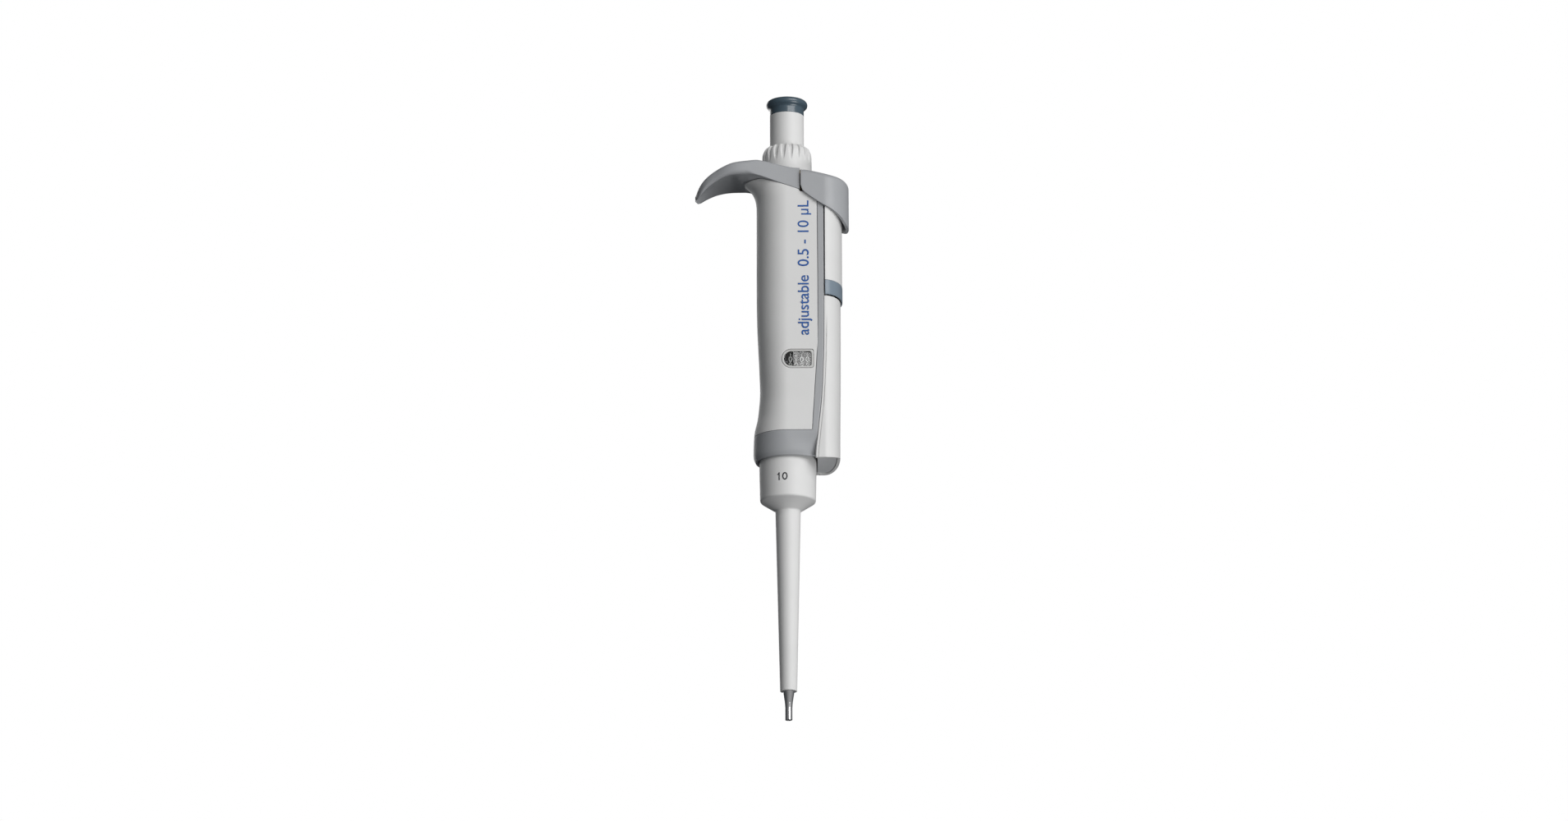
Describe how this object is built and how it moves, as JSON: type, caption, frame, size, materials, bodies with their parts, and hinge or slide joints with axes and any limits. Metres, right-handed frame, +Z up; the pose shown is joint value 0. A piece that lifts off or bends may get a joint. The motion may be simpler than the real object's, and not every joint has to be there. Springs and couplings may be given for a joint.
{
  "type": "adjustable micropipette",
  "caption": "Hand-held adjustable air-displacement micropipette with push button, volume ring, finger hook, side tip ejector, sleeve and metal nozzle.",
  "frame": {"origin": "centre of the nozzle's open end, where a pipette tip is pushed on", "axes": "+Z up the handle along the piston's axis, -X towards the finger hook, +X towards the tip ejector, Y across the handle"},
  "size_m": [0.0578, 0.0256, 0.2406],
  "materials": {
    "white_plastic": "satin moulded",
    "grey_plastic": "fine matt moulded",
    "cap_plastic": "semi-gloss moulded",
    "band_plastic": "satin moulded",
    "bezel_plastic": "satin moulded",
    "clear_lens": "clear moulded",
    "black_plastic": "matt moulded",
    "inner_plastic": "plain moulded",
    "bush_plastic": "machined",
    "seal_rubber": "matt",
    "spring_steel": "drawn wire",
    "polished_steel": "polished",
    "spindle_metal": "turned",
    "gear_brass": "machined"
  },
  "bodies": {
    "housing": {"grip_shell": "white_plastic", "chassis": "grey_plastic", "finger_hook": "grey_plastic", "spine_cover": "white_plastic", "spine_foot": "grey_plastic", "window_bezel": "bezel_plastic", "window_lens": "clear_lens", "counter_frame": "black_plastic", "counter_axle": "spring_steel", "core_tube": "inner_plastic", "rod_bush": "bush_plastic", "spindle_bush": "bush_plastic", "ejector_guides": "bush_plastic", "shaft_socket": "inner_plastic", "lower_shaft": "inner_plastic", "union_nut": "black_plastic", "shaft_o_ring": "seal_rubber", "blowout_spring": "spring_steel", "blowout_washer": "spring_steel", "main_spring": "spring_steel", "piston_spring": "spring_steel", "ejector_spring": "spring_steel", "cone_spring": "spring_steel"},
    "setting": {"volume_ring": "white_plastic", "volume_spindle": "spindle_metal", "spindle_gear": "gear_brass", "circlip": "spring_steel"},
    "stop": {"stop_nut": "bush_plastic"},
    "plunger": {"button_cap": "cap_plastic", "button_sleeve": "white_plastic", "control_rod": "polished_steel", "stop_collar": "gear_brass", "piston_holder": "cap_plastic", "piston": "polished_steel"},
    "ejector": {"ejector_button": "grey_plastic", "ejector_slide": "white_plastic", "colour_band": "band_plastic", "ejector_rod": "polished_steel", "ejector_arm": "black_plastic", "ejector_sleeve": "white_plastic"},
    "nozzle": {"tip_cone": "polished_steel", "piston_seal": "seal_rubber", "seal_gland": "inner_plastic"},
    "tens": {"wheel_tens": "black_plastic"},
    "ones": {"wheel_ones": "black_plastic"},
    "tenths": {"wheel_tenths": "black_plastic"},
    "hundredths": {"wheel_hundredths": "black_plastic"},
    "drive_shaft": {"drive_pinion": "gear_brass", "counter_shaft": "spring_steel", "shaft_bevel": "gear_brass"},
    "drive_gear": {"bevel_wheel": "gear_brass"}
  },
  "joints": [
    {"name": "volume_turn", "type": "hinge", "parent": "housing", "child": "setting", "pos_m": [0, 0, 0.2166], "axis": [0, 0, 1], "range_deg": [-180, 3240]},
    {"name": "stop_travel", "type": "slide", "parent": "housing", "child": "stop", "axis": [0, 0, -1], "range_m": [-0.00064, 0.01146]},
    {"name": "plunger_press", "type": "slide", "parent": "housing", "child": "plunger", "axis": [0, 0, -1], "range_m": [0, 0.0135], "stiffness_N_per_m": 150, "springref_m": -0.012, "deforming": ["main_spring", "piston_spring"]},
    {"name": "ejector_press", "type": "slide", "parent": "housing", "child": "ejector", "axis": [0, 0, -1], "range_m": [0, 0.007], "stiffness_N_per_m": 300, "springref_m": -0.006, "deforming": ["ejector_spring"]},
    {"name": "nozzle_spring", "type": "slide", "parent": "housing", "child": "nozzle", "axis": [0, 0, 1], "range_m": [0, 0.0025], "stiffness_N_per_m": 600, "springref_m": -0.005, "deforming": ["cone_spring"]},
    {"name": "tens_turn", "type": "hinge", "parent": "housing", "child": "tens", "pos_m": [0, -0.0061, 0.1355], "axis": [1, 0, 0], "range_deg": [-1.8, 32.43]},
    {"name": "ones_turn", "type": "hinge", "parent": "housing", "child": "ones", "pos_m": [0, -0.0061, 0.1355], "axis": [1, 0, 0], "range_deg": [-18.02, 324.32]},
    {"name": "tenths_turn", "type": "hinge", "parent": "housing", "child": "tenths", "pos_m": [0, -0.0061, 0.1355], "axis": [1, 0, 0], "range_deg": [-180.18, 3243.24]},
    {"name": "hundredths_turn", "type": "hinge", "parent": "housing", "child": "hundredths", "pos_m": [0, -0.0061, 0.1355], "axis": [1, 0, 0], "range_deg": [-1801.8, 32432.4]},
    {"name": "drive_shaft_turn", "type": "hinge", "parent": "housing", "child": "drive_shaft", "pos_m": [0.00945, -0.0017, 0.1955], "axis": [0, 0, 1], "range_deg": [-9730, 545]},
    {"name": "drive_gear_turn", "type": "hinge", "parent": "housing", "child": "drive_gear", "pos_m": [0, -0.0061, 0.1355], "axis": [1, 0, 0], "range_deg": [-181, 3245]}
  ],
  "couplings": [
    {"joint": "stop_travel", "follows": "volume_turn", "m_per_rad": 0.0002026},
    {"joint": "tens_turn", "follows": "volume_turn", "ratio": 0.01},
    {"joint": "ones_turn", "follows": "volume_turn", "ratio": 0.1},
    {"joint": "tenths_turn", "follows": "volume_turn", "ratio": 1},
    {"joint": "hundredths_turn", "follows": "volume_turn", "ratio": 10},
    {"joint": "drive_shaft_turn", "follows": "volume_turn", "ratio": -3},
    {"joint": "drive_gear_turn", "follows": "volume_turn", "ratio": 1}
  ]
}
